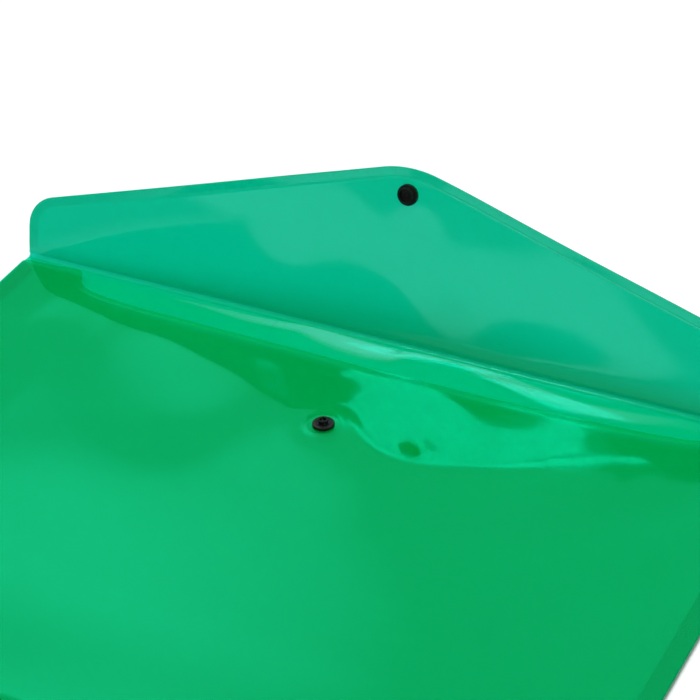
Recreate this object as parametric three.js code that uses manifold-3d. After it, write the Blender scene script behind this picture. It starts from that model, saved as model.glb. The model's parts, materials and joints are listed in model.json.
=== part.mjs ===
// Translucent polypropylene document wallet for A4 sheets, lying on its back panel with the flap
// half raised. One die-cut sheet makes the back panel, the front panel folded up from the bottom,
// two side tabs, a double-scored crease strip and a pointed flap. A press stud closes it: socket
// and cap on the flap, stud and cap on the front panel.
//
// Millimetres, +Z up. Origin: centre of the back panel's underside. +X runs along the crease,
// +Y runs from the bottom fold towards the crease.
import * as THREE from "three";
import { mergeVertices } from "three/addons/utils/BufferGeometryUtils.js";
import Module from "manifold-3d";

// ---------------------------------------------------------------- sheet and pose
const WIDTH = 330;              // along the crease
const DEPTH = 235;              // bottom fold to lower score line
const SHEET = 0.3;              // sheet thickness
const STRIP = 2.0;              // distance between the two score lines
const SCORE_GAP = 0.2;          // panel edge to score axis
const OPEN_EACH = THREE.MathUtils.degToRad(37.5); // turn at each score line in this pose

const CREASE_Y = DEPTH / 2;                 // the lower score line
const FOLD_R = 1.5 * SHEET;                 // outer radius of the bottom fold
const FOLD_Y = -DEPTH / 2 + FOLD_R;         // the panels' flat edges meet the fold here
const FRONT_Z = 2 * SHEET;                  // underside of the front panel at the welds
const EDGE_X = WIDTH / 2 - SHEET;           // the back panel's side fold lines

// ---------------------------------------------------------------- side tabs
const TAB_INNER = 157.6;        // |x| of each tab's inner edge
const TAB_TOP = 3.4;            // crease to the tab's top end
const TAB_TAPER_Y = 8.4;        // crease to the end of the taper
const TAB_TAPER_X = 163.4;      // |x| where the taper meets the top end

// ---------------------------------------------------------------- front panel
const FRONT_EDGE_X = WIDTH / 2 - 0.1;
const FRONT_ROWS = 18;          // mesh rows from the bottom fold to the mouth
const MOUTH_DROP = 18.3;        // crease to the straight middle of the mouth
const EAR_DROP = 2.2;           // crease to the top of the panel's two ears
// The panel's free edge, from the ear inwards: |x|, distance below the crease.
const MOUTH = [
  [165.0, 4.4], [164.2, 2.9], [162.6, 2.25], [160.0, EAR_DROP], [139.6, EAR_DROP],
  [138.0, 2.45], [137.0, 3.2], [136.3, 4.6], [134.6, 7.9], [132.9, 10.3], [130.6, 12.3],
  [127.6, 13.9], [123.0, 15.2], [112.8, 16.6], [102.0, 17.5], [90.0, 18.0], [76.0, 18.25],
  [60.0, MOUTH_DROP],
];
const MOUTH_MIDDLE = [48, 36, 24, 12];      // |x| of further mesh columns, inside the curve
const PILLOW = 1.6;             // how far the empty panel stands up in the middle
const PILLOW_EDGE_X = TAB_INNER - 0.1;      // |x| where the rise begins
const PILLOW_SIDE = 45;         // width of the rise from each side
const PILLOW_BOTTOM = 60;       // length of the rise from the bottom fold

// ---------------------------------------------------------------- flap
const FLAP_SIDE = 23.2;         // upper score to the flap's side corner, corner taken sharp
const FLAP_TIP = 71.4;          // upper score to the flap's tip, tip taken sharp
const FLAP_CORNER_R = 15;
const FLAP_TIP_R = 40;
const CORNER_STEPS = 12;        // segments in each rounded corner
const RIM_INSET = 3.6;          // pressed rim line, in from the flap's edge
const RIM_WIDTH = 0.8;
const RIM_HEIGHT = 0.12;
const RIM_SINK = 0.1;           // how far the rim runs into the sheet, to join it
const RIM_END = 2.6;            // the rim line stops this far above the upper score

// ---------------------------------------------------------------- press stud
const SNAP_R = 4.15;            // flange and cap radius
const SNAP_FLAP = 59.2;         // upper score to the socket's axis
const SNAP_FRONT = 59.1;        // lower score to the stud's axis
const SNAP_SEAT = 0.05;         // gap between a moulding and the sheet
const SPIKE_R = 0.7;            // rivet spike moulded on each cap
const BORE_R = SPIKE_R + 0.1;   // hole in the stud and socket for the spike
const SHEET_HOLE_R = 0.9;
const ROUND = 40;               // segments round a moulding
const SLOT = { length: 6, width: 0.4, height: 1.6, floor: 1.35 }; // floor is above the seat

// ---------------------------------------------------------------- helpers
const QUARTER_TURN = Math.PI / 2;
const wasm = await Module();
wasm.setup();

function solid(geometry) {
  const bare = new THREE.BufferGeometry();
  bare.setAttribute("position", geometry.getAttribute("position"));
  bare.setIndex(geometry.index);
  const merged = mergeVertices(bare, 1e-4);
  return new wasm.Manifold(new wasm.Mesh({
    numProp: 3,
    vertProperties: new Float32Array(merged.attributes.position.array),
    triVerts: new Uint32Array(merged.index.array),
  }));
}

function indexedGeometry(positions, indices) {
  const geometry = new THREE.BufferGeometry();
  geometry.setAttribute("position", new THREE.BufferAttribute(new Float32Array(positions), 3));
  geometry.setIndex(new THREE.BufferAttribute(new Uint32Array(indices), 1));
  geometry.computeVertexNormals();
  return geometry;
}

function geometryOf(manifold) {
  const mesh = manifold.getMesh();
  return indexedGeometry(mesh.vertProperties, mesh.triVerts);
}

// Outlines and sections are lists of coordinate pairs. Extrusion runs from z = 0 up to depth.
function extrude(outline, depth, hole) {
  const shape = new THREE.Shape(outline.map(([x, y]) => new THREE.Vector2(x, y)));
  if (hole) {
    const ring = new THREE.Path();
    ring.absarc(hole.x, hole.y, hole.radius, 0, 2 * Math.PI, true);
    shape.holes.push(ring);
  }
  return new THREE.ExtrudeGeometry(shape, { depth, bevelEnabled: false, curveSegments: 16 });
}

// A section drawn in (y, z), run along x across the back panel.
const acrossPanel = (section) => extrude(section, 2 * EDGE_X)
  .rotateX(QUARTER_TURN)
  .rotateZ(QUARTER_TURN)
  .translate(-EDGE_X, 0, 0);

// A section drawn in (x, z), run along y from top down to bottom.
const alongY = (section, top, bottom) => extrude(section, top - bottom)
  .rotateX(QUARTER_TURN)
  .translate(0, top, 0);

// Points of an arc; angles in degrees.
function arc(centreX, centreY, radius, from, to, steps) {
  return Array.from({ length: steps + 1 }, (_, k) => {
    const angle = THREE.MathUtils.degToRad(from + ((to - from) * k) / steps);
    return [centreX + radius * Math.cos(angle), centreY + radius * Math.sin(angle)];
  });
}

// A closed polygon with each corner rounded to its own radius; 0 leaves the corner sharp.
function rounded(corners, radii) {
  const count = corners.length;
  return corners.flatMap((pair, i) => {
    const radius = radii[i];
    if (!radius) return [pair];
    const corner = new THREE.Vector2(...pair);
    const towards = (j) => new THREE.Vector2(...corners[j % count]).sub(corner).normalize();
    const before = towards(i + count - 1);
    const after = towards(i + 1);
    const half = Math.acos(before.dot(after)) / 2;
    const centre = before.clone().add(after).normalize()
      .multiplyScalar(radius / Math.sin(half)).add(corner);
    const angleAtTangent = (direction) => {
      const tangent = direction.clone().multiplyScalar(radius / Math.tan(half));
      const spoke = tangent.add(corner).sub(centre);
      return Math.atan2(spoke.y, spoke.x);
    };
    const from = angleAtTangent(before);
    let turn = angleAtTangent(after) - from;
    // Take the short way round.
    if (turn > Math.PI) turn -= 2 * Math.PI;
    if (turn < -Math.PI) turn += 2 * Math.PI;
    return Array.from({ length: CORNER_STEPS + 1 }, (_, k) => {
      const angle = from + (turn * k) / CORNER_STEPS;
      return [centre.x + radius * Math.cos(angle), centre.y + radius * Math.sin(angle)];
    });
  });
}

// A moulding turned about z. The profile is (radius, height); one that starts off the axis
// is closed on itself.
function turned(profile) {
  const points = profile.map(([radius, z]) => new THREE.Vector2(radius, z));
  if (points[0].x > 0) points.push(points[0].clone());
  return new THREE.LatheGeometry(points, ROUND).rotateX(QUARTER_TURN);
}

// ---------------------------------------------------------------- panels of the pocket
function backPanel() {
  const top = CREASE_Y - SCORE_GAP;
  return extrude([[-EDGE_X, FOLD_Y], [EDGE_X, FOLD_Y], [EDGE_X, top], [-EDGE_X, top]], SHEET);
}

const bottomFold = () => acrossPanel([
  ...arc(FOLD_Y, FOLD_R, FOLD_R, 90, 270, 14),
  ...arc(FOLD_Y, FOLD_R, FOLD_R - SHEET, 270, 90, 14),
]);

// Distance from the crease down to the front panel's free edge.
function mouthDrop(x) {
  const reach = Math.abs(x);
  for (let i = 1; i < MOUTH.length; i++) {
    const [outerX, outerDrop] = MOUTH[i - 1];
    const [innerX, innerDrop] = MOUTH[i];
    if (reach >= innerX) {
      return innerDrop + ((outerDrop - innerDrop) * (reach - innerX)) / (outerX - innerX);
    }
  }
  return MOUTH_DROP;
}

// The front panel's rise above its welds.
function pillowLift(x, y) {
  const side = THREE.MathUtils.smoothstep(PILLOW_EDGE_X - Math.abs(x), 0, PILLOW_SIDE);
  const bottom = THREE.MathUtils.smoothstep(y - FOLD_Y, 0, PILLOW_BOTTOM);
  return PILLOW * side * bottom;
}

// A low pillow, flat along its welds and standing up towards the middle and the mouth.
function frontPanel() {
  const half = [FRONT_EDGE_X, ...MOUTH.slice(1).map(([x]) => x), ...MOUTH_MIDDLE];
  const columns = [...half.map((x) => -x), 0, ...half.toReversed()];
  const positions = [];
  for (const x of columns) {
    for (let j = 0; j <= FRONT_ROWS; j++) {
      const y = FOLD_Y + (CREASE_Y - mouthDrop(x) - FOLD_Y) * (j / FRONT_ROWS);
      const z = FRONT_Z + pillowLift(x, y);
      positions.push(x, y, z, x, y, z + SHEET);
    }
  }

  const indices = [];
  const quad = (a, b, c, d) => indices.push(a, b, c, a, c, d);
  // Vertex numbers on the underside and on the top face.
  const under = (i, j) => (i * (FRONT_ROWS + 1) + j) * 2;
  const over = (i, j) => under(i, j) + 1;
  const last = columns.length - 1;
  const mouth = FRONT_ROWS;
  for (let i = 0; i < last; i++) {
    for (let j = 0; j < FRONT_ROWS; j++) {
      quad(over(i, j), over(i + 1, j), over(i + 1, j + 1), over(i, j + 1));
      quad(under(i, j), under(i, j + 1), under(i + 1, j + 1), under(i + 1, j));
    }
    quad(under(i, 0), under(i + 1, 0), over(i + 1, 0), over(i, 0));
    quad(under(i, mouth), over(i, mouth), over(i + 1, mouth), under(i + 1, mouth));
  }
  for (let j = 0; j < FRONT_ROWS; j++) {
    quad(under(0, j), over(0, j), over(0, j + 1), under(0, j + 1));
    quad(under(last, j), under(last, j + 1), over(last, j + 1), over(last, j));
  }

  const hole = new THREE.CylinderGeometry(SHEET_HOLE_R, SHEET_HOLE_R, 6, 24)
    .rotateX(QUARTER_TURN)
    .translate(0, CREASE_Y - SNAP_FRONT, FRONT_Z + PILLOW);
  return geometryOf(solid(indexedGeometry(positions, indices)).subtract(solid(hole)));
}

// Folded in from the back panel and welded under the front panel. Its top end is tapered.
function leftSideTab() {
  const top = CREASE_Y - TAB_TOP;
  const taperEnd = CREASE_Y - TAB_TAPER_Y;
  const bar = alongY([
    [-TAB_INNER, SHEET],
    [-TAB_INNER, 2 * SHEET],
    ...arc(-EDGE_X, SHEET, SHEET, 90, 270, 10),
    [-EDGE_X, SHEET],
  ], top, FOLD_Y);
  const margin = 1;             // the cutter runs past the tab on every open side
  const corner = extrude([
    [-TAB_TAPER_X, top + margin],
    [-TAB_TAPER_X, top],
    [-TAB_INNER, taperEnd],
    [-TAB_INNER + margin, taperEnd],
    [-TAB_INNER + margin, top + margin],
  ], 3).translate(0, 0, -margin);
  return geometryOf(solid(bar).subtract(solid(corner)));
}

// The left tab mirrored in x, with its triangles turned to face outwards again.
function rightSideTab() {
  const geometry = leftSideTab().scale(-1, 1, 1);
  const indices = geometry.index.array;
  for (let k = 0; k < indices.length; k += 3) {
    [indices[k], indices[k + 1]] = [indices[k + 1], indices[k]];
  }
  geometry.computeVertexNormals();
  return geometry;
}

// ---------------------------------------------------------------- crease strip and flap
// Drawn about the lower score axis, with a round edge on each score axis.
const creaseStrip = () => acrossPanel([
  ...arc(0, 0, SHEET / 2, 90, 270, 8),
  ...arc(STRIP, 0, SHEET / 2, -90, 90, 8),
]);

// The flap's outline moved in by inset; y is measured from the upper score.
function flapOutline(inset, bottom) {
  const slope = Math.atan2(FLAP_TIP - FLAP_SIDE, WIDTH / 2);
  const tip = FLAP_TIP - inset / Math.cos(slope);
  const side = WIDTH / 2 - inset;
  const corner = tip - side * Math.tan(slope);
  const cornerR = FLAP_CORNER_R - inset;
  return rounded(
    [[-side, bottom], [side, bottom], [side, corner], [0, tip], [-side, corner]],
    [0, 0, cornerR, FLAP_TIP_R - inset, cornerR],
  );
}

function flap() {
  const hole = { x: 0, y: SNAP_FLAP, radius: SHEET_HOLE_R };
  const sheet = extrude(flapOutline(0, SCORE_GAP), SHEET, hole).translate(0, 0, -SHEET / 2);
  // The rim runs up one side, over the tip and down the other, then back along its inner edge.
  const outer = flapOutline(RIM_INSET, RIM_END);
  const inner = flapOutline(RIM_INSET + RIM_WIDTH, RIM_END);
  const band = [...outer.slice(1), outer[0], inner[0], ...inner.slice(1).reverse()];
  const rim = extrude(band, RIM_HEIGHT + RIM_SINK).translate(0, 0, SHEET / 2 - RIM_SINK);
  return geometryOf(solid(sheet).add(solid(rim)));
}

// ---------------------------------------------------------------- press stud, four mouldings
// z = 0 is the sheet face that the stud or socket sits on; its cap is on the other face.
// Profile tables are (radius, height above the seat).

// A hollow post on a flange, its head split by two crossed slots.
function frontStud() {
  const body = turned([
    [BORE_R, 0], [SNAP_R, 0], [SNAP_R, 0.75], [SNAP_R - 0.2, 1.0],
    [2.95, 1.0], [2.8, 1.12], [2.6, 1.12], [2.45, 1.0],
    [1.85, 1.0], [1.85, 1.5], [2.0, 2.0], [1.95, 2.4], [1.75, 2.6],
    [1.35, 2.6], [1.15, 2.4], [1.15, 1.2], [BORE_R, 1.2],
  ]).translate(0, 0, SNAP_SEAT);
  let stud = solid(body);
  for (const angle of [Math.PI / 4, (3 * Math.PI) / 4]) {
    const slot = new THREE.BoxGeometry(SLOT.length, SLOT.width, SLOT.height)
      .rotateZ(angle)
      .translate(0, 0, SNAP_SEAT + SLOT.floor + SLOT.height / 2);
    stud = stud.subtract(solid(slot));
  }
  return geometryOf(stud);
}

// A flange with a round wall that takes the stud's head.
const flapSocket = () => turned([
  [BORE_R, 0], [SNAP_R, 0], [SNAP_R, 0.6], [SNAP_R - 0.2, 0.8],
  [3.25, 0.8], [3.15, 2.1], [2.95, 2.3], [2.65, 2.3],
  [2.45, 2.1], [2.45, 0.9], [BORE_R, 0.9],
]).translate(0, 0, SNAP_SEAT);

// A domed disc with a spike through the sheet. The spike's head widens at headBase, has
// a straight side up to headSide, slopes in to headSlope and ends at tip.
function snapCap({ headBase, headSide, headSlope, tip }) {
  const face = -SHEET - SNAP_SEAT;
  const headR = 1.0;
  return turned([
    [0, face - 0.8], [3.4, face - 0.8], [3.95, face - 0.62], [SNAP_R, face - 0.35],
    [SNAP_R, face], [SPIKE_R, face],
    [SPIKE_R, SNAP_SEAT + headBase], [headR, SNAP_SEAT + headBase],
    [headR, SNAP_SEAT + headSide], [0.7, SNAP_SEAT + headSlope], [0, SNAP_SEAT + tip],
  ]);
}

const frontStudCap = () => snapCap({ headBase: 1.25, headSide: 1.45, headSlope: 1.7, tip: 1.75 });
const flapSocketCap = () => snapCap({ headBase: 0.95, headSide: 1.1, headSlope: 1.3, tip: 1.35 });

// ---------------------------------------------------------------- materials
const GREEN = {
  back: 0x01b87e,
  fold: 0x00a864,
  front: 0x00b269,
  tab: 0x019642,
  crease: 0x14c193,
  flap: 0x05ba93,
};

// Glossy see-through sheet.
const poly = (color) => new THREE.MeshStandardMaterial({
  color,
  roughness: 0.28,
  metalness: 0,
  transparent: true,
  opacity: 0.6,
  side: THREE.DoubleSide,
});

// Glossy black plastic of the press stud.
const black = () => new THREE.MeshStandardMaterial({
  color: 0x0c100e,
  roughness: 0.22,
  metalness: 0,
});

// ---------------------------------------------------------------- scene graph
function piece(name, geometry, material) {
  const mesh = new THREE.Mesh(geometry, material);
  mesh.name = name;
  return mesh;
}

function groupAt(x, y, z, ...children) {
  const group = new THREE.Group();
  group.position.set(x, y, z);
  group.add(...children);
  return group;
}

const frontSnap = groupAt(0, CREASE_Y - SNAP_FRONT, FRONT_Z + PILLOW + SHEET,
  piece("front_stud", frontStud(), black()),
  piece("front_stud_cap", frontStudCap(), black()),
);
const pocket = groupAt(0, 0, 0,
  piece("back_panel", backPanel(), poly(GREEN.back)),
  piece("bottom_fold", bottomFold(), poly(GREEN.fold)),
  piece("front_panel", frontPanel(), poly(GREEN.front)),
  piece("left_side_tab", leftSideTab(), poly(GREEN.tab)),
  piece("right_side_tab", rightSideTab(), poly(GREEN.tab)),
  frontSnap,
);

const flapSnap = groupAt(0, SNAP_FLAP, SHEET / 2,
  piece("flap_socket", flapSocket(), black()),
  piece("flap_socket_cap", flapSocketCap(), black()),
);
// The flap turns about the upper score, which is carried round by the lower one.
const upperScore = groupAt(0, STRIP, 0,
  piece("flap", flap(), poly(GREEN.flap)),
  flapSnap,
);
upperScore.rotation.x = OPEN_EACH;

const lowerScore = groupAt(0, CREASE_Y, SHEET / 2,
  piece("crease_strip", creaseStrip(), poly(GREEN.crease)),
  upperScore,
);
lowerScore.rotation.x = OPEN_EACH;

const wallet = groupAt(0, 0, 0, pocket, lowerScore);

export default wallet;
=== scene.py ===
import json
import math

import bmesh
import bpy
import numpy as np
from mathutils import Matrix, Vector


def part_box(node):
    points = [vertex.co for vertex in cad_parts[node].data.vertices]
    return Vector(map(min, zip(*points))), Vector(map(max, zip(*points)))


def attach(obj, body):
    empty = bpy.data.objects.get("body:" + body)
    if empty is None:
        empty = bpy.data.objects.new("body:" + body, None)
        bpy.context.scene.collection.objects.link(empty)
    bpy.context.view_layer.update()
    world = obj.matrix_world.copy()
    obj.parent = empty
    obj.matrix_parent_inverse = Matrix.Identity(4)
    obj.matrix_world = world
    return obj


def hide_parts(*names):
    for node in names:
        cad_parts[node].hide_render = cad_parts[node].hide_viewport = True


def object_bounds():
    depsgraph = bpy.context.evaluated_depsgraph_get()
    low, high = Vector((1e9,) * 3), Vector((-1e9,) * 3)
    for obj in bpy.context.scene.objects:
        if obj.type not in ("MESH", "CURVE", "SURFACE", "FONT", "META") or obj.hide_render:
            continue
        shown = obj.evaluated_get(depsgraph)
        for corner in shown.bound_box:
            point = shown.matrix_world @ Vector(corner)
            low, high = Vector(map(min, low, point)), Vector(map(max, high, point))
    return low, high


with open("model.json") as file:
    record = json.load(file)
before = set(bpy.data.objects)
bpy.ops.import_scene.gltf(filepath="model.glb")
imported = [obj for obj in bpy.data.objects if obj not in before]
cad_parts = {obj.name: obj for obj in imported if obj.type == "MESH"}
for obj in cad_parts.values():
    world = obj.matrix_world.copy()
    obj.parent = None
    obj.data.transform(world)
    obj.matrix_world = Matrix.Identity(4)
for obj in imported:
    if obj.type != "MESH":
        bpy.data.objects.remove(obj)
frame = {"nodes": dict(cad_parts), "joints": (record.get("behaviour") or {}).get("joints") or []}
cad_lo, cad_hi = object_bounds()
MM = 0.001


# ---------------------------------------------------------------- sizes from the frame
def box_mm(node):
    lo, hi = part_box(node)
    return np.array(lo) / MM, np.array(hi) / MM


def centre_mm(node):
    """Mean of a piece's distinct vertices."""
    points = np.array([v.co for v in frame["nodes"][node].data.vertices], float)
    return np.unique(np.round(points, 6), axis=0).mean(0) / MM


joints = {joint["name"]: joint for joint in frame["joints"]}
LOWER_SCORE = np.array(joints["lower_score"]["pos_m"]) / MM
UPPER_SCORE = np.array(joints["upper_score"]["pos_m"]) / MM
back_lo, back_hi = box_mm("back_panel")
front_lo, front_hi = box_mm("front_panel")
stud_lo, stud_hi = box_mm("front_stud")
tab_hi = box_mm("left_side_tab")[1]

THICK = back_hi[2] - back_lo[2]
HALF_WIDTH = cad_hi[0] / MM                      # of the flap
EDGE_X = back_hi[0]
FOLD_Y = back_lo[1]
CREASE_Y = LOWER_SCORE[1]
FRONT_Z = front_lo[2]
FRONT_X = front_hi[0]
PILLOW_RISE = front_hi[2] - THICK - FRONT_Z      # how far the front panel stands up at its fullest
TAB_INNER_X = -tab_hi[0]
TAB_TOP_GAP = CREASE_Y - tab_hi[1]

# the crease strip joins the two score lines; the flap turns by the same angle again
STRIP_WIDTH = float(np.linalg.norm(UPPER_SCORE - LOWER_SCORE))
STRIP_ANGLE = math.atan2(UPPER_SCORE[2] - LOWER_SCORE[2], UPPER_SCORE[1] - LOWER_SCORE[1])


def tilted_axes(angle):
    """Directions up a sheet tilted about x, and square to it out of its inner face."""
    up = np.array([0, math.cos(angle), math.sin(angle)])
    inward = np.array([0, -math.sin(angle), math.cos(angle)])
    return up, inward


STRIP_UP, STRIP_INWARD = tilted_axes(STRIP_ANGLE)
FLAP_UP, FLAP_INWARD = tilted_axes(2 * STRIP_ANGLE)

STUD = np.array([(stud_lo[0] + stud_hi[0]) / 2, (stud_lo[1] + stud_hi[1]) / 2, stud_lo[2]])
SNAP_RADIUS = (stud_hi[0] - stud_lo[0]) / 2
SOCKET_HEIGHT = float((centre_mm("flap_socket") - UPPER_SCORE) @ FLAP_UP)


# ---------------------------------------------------------------- curves and spacings
def smooth(t):
    """Smooth step from 0 to 1."""
    t = np.clip(t, 0, 1)
    return t * t * (3 - 2 * t)


def bell(distance, width):
    return np.exp(-((distance / width) ** 2))


def mound(x, y, at, size, turn=0.0):
    """An oval bell of height 1, turned by an angle in radians."""
    c, s = math.cos(turn), math.sin(turn)
    u = (x - at[0]) * c + (y - at[1]) * s
    v = -(x - at[0]) * s + (y - at[1]) * c
    return bell(u, size[0]) * bell(v, size[1])


def interpolate(x, stations):
    """Straight-line interpolation in a list of (x, value)."""
    places, values = zip(*stations)
    return np.interp(x, places, values)


def graded(start, *runs):
    """Values from start through joined runs of (end, step)."""
    values = []
    for end, step in runs:
        count = max(1, int(round(abs(end - start) / step)))
        values.extend(start + (end - start) * k / count for k in range(count))
        start = end
    values.append(start)
    return np.array(values)


def mirrored(half):
    """Both sides of a list of x values that starts at 0."""
    return np.concatenate([-half[:0:-1], half])


def cut_corners(points, rounds):
    """Chaikin corner cutting of an open polyline."""
    for _ in range(rounds):
        finer = np.empty((2 * len(points), 2))
        finer[0], finer[-1] = points[0], points[-1]
        finer[1:-1:2] = 0.75 * points[:-1] + 0.25 * points[1:]
        finer[2::2] = 0.25 * points[:-1] + 0.75 * points[1:]
        points = finer
    return points


# ---------------------------------------------------------------- mesh builders
def new_object(name, node, body, material, verts_mm, faces):
    mesh = bpy.data.meshes.new(name)
    mesh.from_pydata((np.asarray(verts_mm) * MM).tolist(), [], faces)
    mesh.validate()
    mesh.update()
    mesh.shade_smooth()
    mesh.materials.append(material)
    obj = bpy.data.objects.new(name, mesh)
    bpy.context.scene.collection.objects.link(obj)
    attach(obj, body)
    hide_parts(node)
    return obj


def unit(vectors):
    return vectors / (np.linalg.norm(vectors) + 1e-12)


def grid_normals(points):
    normals = np.cross(np.gradient(points, axis=0), np.gradient(points, axis=1))
    return normals / np.linalg.norm(normals, axis=2, keepdims=True)


def sheet(node, body, material, points, thick=THICK):
    """A closed sheet round a grid of mid-surface points, its edge rounded by one extra ring."""
    nu, nv = points.shape[:2]
    normals = grid_normals(points)
    top, bottom = points + normals * thick / 2, points - normals * thick / 2
    ring = [(i, 0) for i in range(nu)]
    ring += [(nu - 1, j) for j in range(1, nv)]
    ring += [(i, nv - 1) for i in range(nu - 2, -1, -1)]
    ring += [(0, j) for j in range(nv - 2, 0, -1)]
    edge = []
    for k, cell in enumerate(ring):
        along = unit(points[ring[(k + 1) % len(ring)]] - points[ring[k - 1]])
        outwards = unit(np.cross(along, normals[cell]))
        edge.append(points[cell] + outwards * thick * 0.12)
    verts = np.concatenate([top.reshape(-1, 3), bottom.reshape(-1, 3), np.array(edge)])

    below = nu * nv                              # index offset of the bottom grid
    index = np.arange(below).reshape(nu, nv)
    a, b, c, d = index[:-1, :-1], index[1:, :-1], index[1:, 1:], index[:-1, 1:]
    faces = np.stack([a, b, c, d], -1).reshape(-1, 4).tolist()
    faces += np.stack([d + below, c + below, b + below, a + below], -1).reshape(-1, 4).tolist()
    first = 2 * below
    for k in range(len(ring)):
        m = (k + 1) % len(ring)
        here, after = int(index[ring[k]]), int(index[ring[m]])
        faces.append([after, here, first + k, first + m])
        faces.append([first + m, first + k, here + below, after + below])
    return new_object(node + "_sheet", node, body, material, verts, faces)


def paint(obj, name, grid, edge_value):
    """Stores a value per grid point on both faces of a sheet, and one value on its edge ring."""
    edge = np.full(len(obj.data.vertices) - 2 * grid.size, edge_value)
    values = np.concatenate([grid.ravel(), grid.ravel(), edge])
    attribute = obj.data.attributes.new(name, "FLOAT", "POINT")
    attribute.data.foreach_set("value", values.astype(np.float32))


# ---------------------------------------------------------------- node helpers
def rgba(rgb, scale=1.0):
    return tuple(scale * c for c in rgb) + (1,)


def grey(value):
    return (value, value, value, 1)


class Graph:
    """Short words for building a node tree."""

    def __init__(self, tree):
        self.tree = tree
        tree.nodes.clear()

    def node(self, kind, inputs=None, **settings):
        node = self.tree.nodes.new(kind)
        for key, value in settings.items():
            setattr(node, key, value)
        for key, value in (inputs or {}).items():
            if isinstance(value, bpy.types.NodeSocket):
                self.tree.links.new(value, node.inputs[key])
            else:
                node.inputs[key].default_value = value
        return node

    def shader(self, kind, **inputs):
        return self.node(kind, inputs).outputs[0]

    def coords(self, kind):
        return self.node("ShaderNodeTexCoord").outputs[kind]

    def axes(self, vector):
        return self.node("ShaderNodeSeparateXYZ", {0: vector}).outputs

    def mapped(self, vector, **inputs):
        return self.node("ShaderNodeMapping", {"Vector": vector, **inputs}).outputs["Vector"]

    def ray(self, kind):
        return self.node("ShaderNodeLightPath").outputs[kind]

    def attribute(self, name):
        return self.node("ShaderNodeAttribute", attribute_name=name).outputs["Fac"]

    def math(self, operation, *values, clamp=False):
        inputs = dict(enumerate(values))
        return self.node("ShaderNodeMath", inputs, operation=operation, use_clamp=clamp).outputs[0]

    def ramp(self, value, gain, offset, clamp=True):
        """value * gain + offset in one node."""
        return self.math("MULTIPLY_ADD", value, gain, offset, clamp=clamp)

    def scaled(self, value, factor, offset):
        """value * factor + offset in two nodes."""
        return self.math("ADD", self.math("MULTIPLY", value, factor), offset)

    def mix_shader(self, share, a, b):
        return self.node("ShaderNodeMixShader", {0: share, 1: a, 2: b}).outputs[0]

    def mix_color(self, share, a, b):
        inputs = {0: share, 6: a, 7: b}          # the factor and the two colour sockets
        return self.node("ShaderNodeMix", inputs, data_type="RGBA", blend_type="MIX").outputs[2]

    def noise(self, vector, scale, detail, roughness):
        inputs = {"Vector": vector, "Scale": scale, "Detail": detail, "Roughness": roughness}
        return self.node("ShaderNodeTexNoise", inputs).outputs["Fac"]

    def bump(self, height, distance, strength, **normal):
        inputs = {"Strength": strength, "Distance": distance, "Height": height, **normal}
        return self.node("ShaderNodeBump", inputs).outputs["Normal"]

    def surface(self, shader, kind="ShaderNodeOutputMaterial"):
        self.node(kind, {"Surface": shader})


def new_material(name):
    material = bpy.data.materials.new(name)
    material.use_nodes = True
    return material, Graph(material.node_tree)


# ---------------------------------------------------------------- materials
CLEAR = (0.0, 0.835, 0.815)     # tint of the light that goes straight through a face
MILK = (0.0, 0.79, 0.105)       # colour of the light the sheet scatters
HIGHLIGHT_PAINT = (0.30, 0.95, 0.93)    # colour of the painted highlight on the back panel's ridge and the flap's rim
SCATTER = 0.22                  # share of each face that is milky
THROUGH = 0.40                  # part of the milky light that goes on through the face
WIDE_SHARE = 0.14               # share of the soft highlight
WIDE_ROUGHNESS = 0.34
GLOSS_GAIN = 1.2
HIGHLIGHT_PAINT_SHARE = 0.17            # how strongly the painted highlight shows

SHEET_LOOKS = {
    "back": dict(seed=0.0, gloss=(0.10, 1.0, 0.88)),
    "front": dict(seed=1.7, gloss=(0.05, 1.0, 0.74)),
    # The tabs' sheet is tinted deeper than the rest, letting less light through: painted shade.
    "tab": dict(seed=3.1, gloss=(0.05, 1.0, 0.68), clear=(0.0, 0.56, 0.52)),
    "crease": dict(seed=4.4, gloss=(0.20, 1.0, 0.90)),
    # The flap's sheet is tinted deeper than the pocket's, making up for how it is lit and what lies
    # behind it: painted shade.
    "flap": dict(seed=5.9, gloss=(0.34, 0.98, 0.98), clear=(0.0, 0.742, 0.640),
                 milk=(0.0, 0.66, 0.060)),
    "fold": dict(seed=7.3, gloss=(0.05, 1.0, 0.68)),
}


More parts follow.
